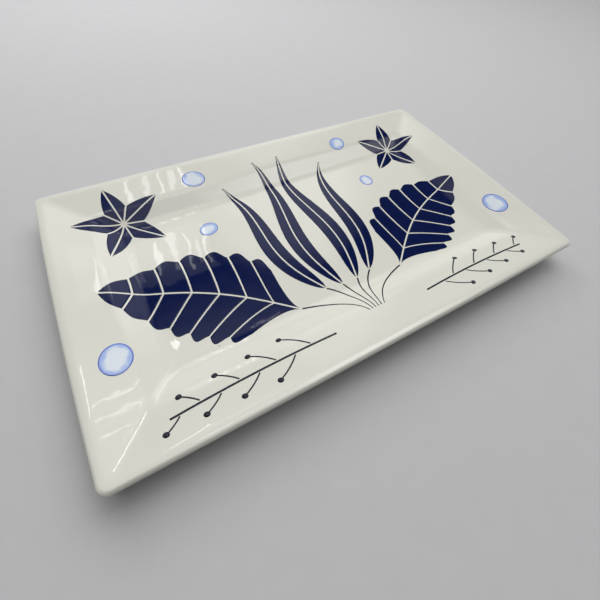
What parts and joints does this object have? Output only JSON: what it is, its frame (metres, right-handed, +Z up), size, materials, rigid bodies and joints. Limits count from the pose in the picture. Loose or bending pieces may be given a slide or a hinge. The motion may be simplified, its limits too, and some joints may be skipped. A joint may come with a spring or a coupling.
{
  "type": "rectangular serving platter",
  "caption": "Shallow rectangular glazed porcelain serving platter with a sloping rim, soft step, flat well and low foot ring, printed with a navy seaweed spray.",
  "frame": {"origin": "centre of the platter in plan, on the surface that the foot ring stands on", "axes": "+X along the platter's length, +Y across its width away from the spray's stems, +Z up out of the well"},
  "size_m": [0.36, 0.22, 0.0203],
  "materials": {
    "bisque_porcelain": "matt unglazed porcelain",
    "clear_glaze": "gloss, warm white",
    "navy_print": "gloss fired transfer, navy",
    "ink_print": "gloss fired transfer, near black",
    "blue_wash_print": "gloss fired transfer, watercolour blue"
  },
  "bodies": {
    "root": {"porcelain_body": "bisque_porcelain", "glaze_coat": "clear_glaze", "base_glaze": "clear_glaze", "frond_left": "navy_print", "frond_right": "navy_print", "weed_blade_1": "navy_print", "weed_blade_2": "navy_print", "weed_blade_3": "navy_print", "weed_blade_4": "navy_print", "star_left": "navy_print", "star_right": "navy_print", "spray_stems": "ink_print", "sprig_left": "ink_print", "sprig_right": "ink_print", "pebble_1": "blue_wash_print", "pebble_2": "blue_wash_print", "pebble_3": "blue_wash_print", "pebble_4": "blue_wash_print", "pebble_5": "blue_wash_print", "pebble_6": "blue_wash_print"}
  },
  "joints": []
}
